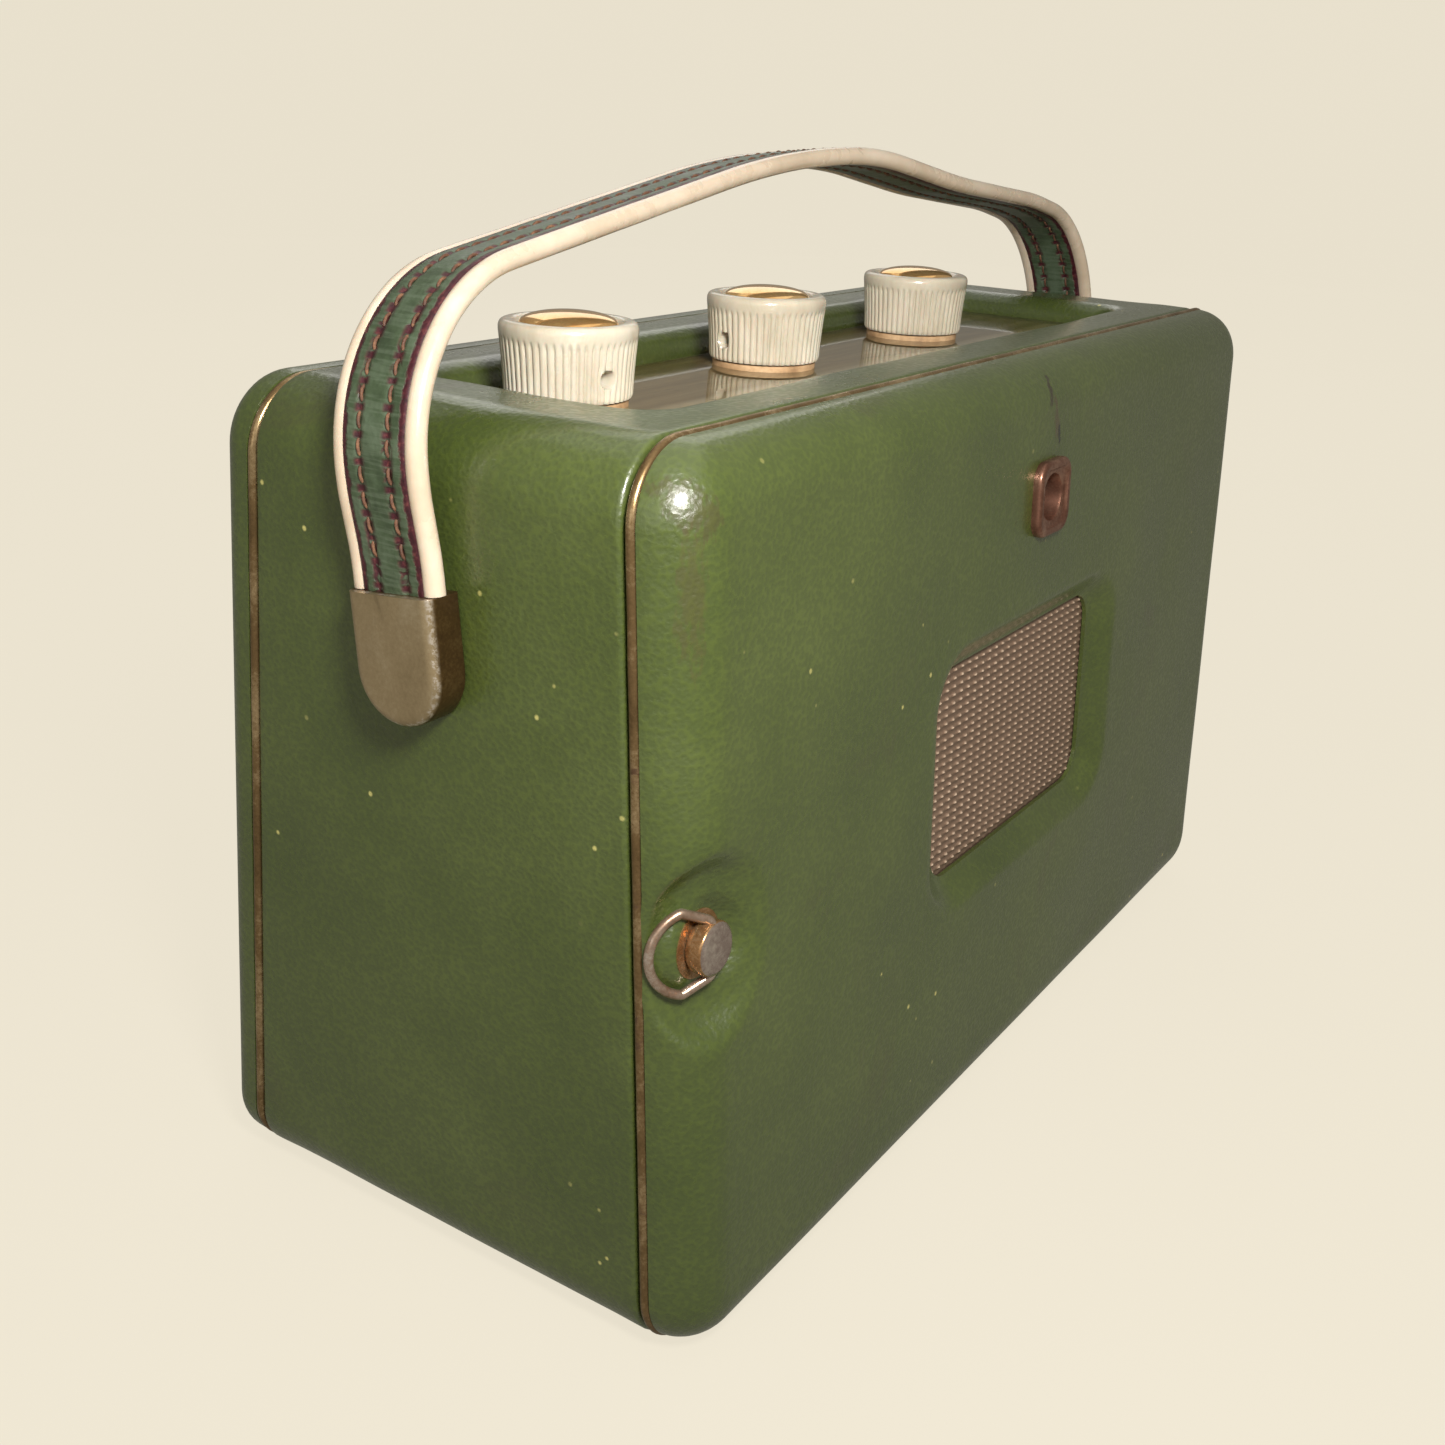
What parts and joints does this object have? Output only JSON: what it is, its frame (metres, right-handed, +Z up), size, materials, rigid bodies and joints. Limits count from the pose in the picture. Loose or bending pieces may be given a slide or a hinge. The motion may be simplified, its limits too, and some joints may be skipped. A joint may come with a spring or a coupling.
{
  "type": "portable transistor radio",
  "caption": "Leathercloth-covered portable radio with a tapered case, hinged back with vent, strap handle and top dial with fluted knobs.",
  "frame": {"origin": "centre of the flat base of the case, midway between its two side walls and between its two seams at the base", "axes": "+Z up, -Y towards the hinged back with the vent and catch, +Y towards the loudspeaker front, +X to the right of someone facing the back"},
  "size_m": [0.2968, 0.1262, 0.215],
  "materials": {
    "covered_plywood": "satin",
    "seam_brass": "satin",
    "antique_brass": "satin",
    "coppered_bezel": "satin",
    "gilt_dome": "polished",
    "ivory_plastic": "gloss",
    "tan_card": "matte",
    "clear_acrylic": "gloss",
    "dial_print": "satin",
    "grille_cloth": "matte",
    "vent_cloth": "matte",
    "bare_plywood": "matte",
    "fibre_board": "matte",
    "plated_steel": "satin",
    "screw_steel": "satin",
    "cone_paper": "matte",
    "magnet_alloy": "matte",
    "paper_laminate": "satin",
    "bright_aluminium": "satin",
    "core_iron": "matte",
    "black_lacquer": "gloss",
    "ferrite": "matte",
    "enamelled_wire": "satin",
    "moulded_black": "satin",
    "battery_jacket": "satin",
    "hinge_brass": "satin",
    "strap_leather": "satin",
    "cream_piping": "gloss"
  },
  "bodies": {
    "case": {"case_shell": "covered_plywood", "case_screws": "screw_steel", "front_bead": "seam_brass", "front_panel": "covered_plywood", "baffle_board": "bare_plywood", "speaker_grille": "grille_cloth", "speaker_basket": "plated_steel", "speaker_cone": "cone_paper", "speaker_magnet": "magnet_alloy", "dial_bezel": "seam_brass", "dial_window": "clear_acrylic", "dial_plate": "dial_print", "knob_washers": "tan_card", "chassis_plate": "plated_steel", "chassis_brackets": "plated_steel", "circuit_board": "paper_laminate", "if_transformer_cans": "bright_aluminium", "audio_transformers": "core_iron", "transistors": "black_lacquer", "electrolytic_capacitors": "bright_aluminium", "volume_control": "plated_steel", "wave_switch": "plated_steel", "tuning_capacitor_frame": "bright_aluminium", "ferrite_rod": "ferrite", "aerial_coils": "enamelled_wire", "aerial_rod_holders": "moulded_black", "aerial_socket": "moulded_black", "battery": "battery_jacket", "battery_connectors": "moulded_black", "battery_tray": "bright_aluminium", "hinge_case_leaves": "hinge_brass", "hinge_pins": "screw_steel", "catch_clip": "hinge_brass", "handle_pivot_studs": "plated_steel"},
    "door": {"door_panel": "covered_plywood", "door_bead": "seam_brass", "vent_mesh": "vent_cloth", "vent_mesh_frame": "fibre_board", "socket_bezel": "coppered_bezel", "hinge_door_leaves": "hinge_brass", "hinge_door_screws": "screw_steel", "catch_bush": "antique_brass", "catch_stud": "antique_brass"},
    "ring": {"catch_ring": "antique_brass"},
    "volume": {"volume_knob": "ivory_plastic", "volume_knob_dome": "gilt_dome", "volume_knob_grub_screw": "screw_steel", "volume_shaft": "screw_steel"},
    "tuning": {"tuning_knob": "ivory_plastic", "tuning_knob_dome": "gilt_dome", "tuning_knob_grub_screw": "screw_steel", "tuning_rotor": "bright_aluminium"},
    "wave": {"wave_knob": "ivory_plastic", "wave_knob_dome": "gilt_dome", "wave_knob_grub_screw": "screw_steel", "wave_shaft": "screw_steel"},
    "handle": {"handle_caps": "antique_brass", "handle_strap": "strap_leather", "handle_piping": "cream_piping"}
  },
  "joints": [
    {"name": "door_hinge", "type": "hinge", "parent": "case", "child": "door", "pos_m": [0.1406, -0.04758, 0.0869], "axis": [0, 0.0485, 0.9988], "range_deg": [0, 110]},
    {"name": "ring_lift", "type": "hinge", "parent": "door", "child": "ring", "pos_m": [-0.13, -0.0582, 0.08681], "axis": [0, 0.0485, 0.9988], "range_deg": [0, 100]},
    {"name": "volume_turn", "type": "hinge", "parent": "case", "child": "volume", "pos_m": [-0.094, 0.0035, 0.17], "axis": [0, 0, 1], "range_deg": [0, 300]},
    {"name": "tuning_turn", "type": "hinge", "parent": "case", "child": "tuning", "pos_m": [-0.024, 0.0035, 0.17], "axis": [0, 0, 1], "range_deg": [0, 180]},
    {"name": "wave_turn", "type": "hinge", "parent": "case", "child": "wave", "pos_m": [0.048, 0.0035, 0.17], "axis": [0, 0, 1], "range_deg": [0, 60]},
    {"name": "handle_swing", "type": "hinge", "parent": "case", "child": "handle", "pos_m": [0, -0.0021, 0.129], "axis": [1, 0, 0], "range_deg": [-25, 37]}
  ]
}
